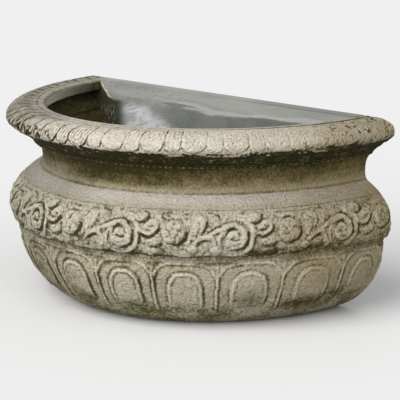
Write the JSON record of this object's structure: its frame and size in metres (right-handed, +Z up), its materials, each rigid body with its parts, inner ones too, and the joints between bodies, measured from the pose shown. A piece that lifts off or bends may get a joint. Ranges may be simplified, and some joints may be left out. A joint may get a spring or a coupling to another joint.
{
  "type": "half-round cachepot",
  "caption": "Half-round wall cachepot in weathered cast stone: rolled leaf rim, waisted neck, scroll frieze and a bowl with arches and tongues, flat at the back.",
  "frame": {"origin": "middle of the footprint on the ground, at the bottom centre of the bounding box", "axes": "+Z up; +Y out of the flat back, towards the wall; the round front faces -Y; +X along the width, to the right when the front is faced"},
  "size_m": [0.5997, 0.3359, 0.275],
  "materials": {
    "bowl_stone": "weathered cast stone, mossy near the foot",
    "frieze_stone": "weathered cast stone",
    "neck_stone": "weathered cast stone, brown and smoother",
    "rim_stone": "weathered cast stone, bleached on top",
    "relief_stone": "weathered cast stone, pale on its high points",
    "panel_cement": "trowelled grey cement",
    "mortar": "rough mortar"
  },
  "bodies": {
    "root": {"bowl_wall": "bowl_stone", "frieze_wall": "frieze_stone", "neck_wall": "neck_stone", "rim_roll": "rim_stone", "bead_string": "rim_stone", "back_panel": "panel_cement", "floor_slab": "panel_cement", "corner_mortar_left": "mortar", "corner_mortar_right": "mortar", "arch_moulding": "relief_stone", "rim_leaf_band": "rim_stone", "tongue_panel_01": "relief_stone", "tongue_panel_02": "relief_stone", "tongue_panel_03": "relief_stone", "tongue_panel_04": "relief_stone", "tongue_panel_05": "relief_stone", "tongue_panel_06": "relief_stone", "tongue_panel_07": "relief_stone", "tongue_panel_08": "relief_stone", "tongue_panel_09": "relief_stone", "tongue_panel_10": "relief_stone", "tongue_panel_11": "relief_stone", "spandrel_dart_01": "relief_stone", "spandrel_dart_02": "relief_stone", "spandrel_dart_03": "relief_stone", "spandrel_dart_04": "relief_stone", "spandrel_dart_05": "relief_stone", "spandrel_dart_06": "relief_stone", "spandrel_dart_07": "relief_stone", "spandrel_dart_08": "relief_stone", "spandrel_dart_09": "relief_stone", "spandrel_dart_10": "relief_stone", "rosette_1": "relief_stone", "volute_scroll_1": "relief_stone", "rosette_2": "relief_stone", "volute_scroll_2": "relief_stone", "rosette_3": "relief_stone", "volute_scroll_3": "relief_stone", "rosette_4": "relief_stone", "volute_scroll_4": "relief_stone", "rosette_5": "relief_stone", "volute_scroll_5": "relief_stone", "rosette_6": "relief_stone", "volute_scroll_6": "relief_stone", "frieze_leaf_01": "relief_stone", "frieze_leaf_02": "relief_stone", "frieze_leaf_03": "relief_stone", "frieze_leaf_04": "relief_stone", "frieze_leaf_05": "relief_stone", "frieze_leaf_06": "relief_stone", "frieze_leaf_07": "relief_stone", "frieze_leaf_08": "relief_stone", "frieze_leaf_09": "relief_stone", "frieze_leaf_10": "relief_stone", "frieze_leaf_11": "relief_stone", "frieze_leaf_12": "relief_stone"}
  },
  "joints": []
}
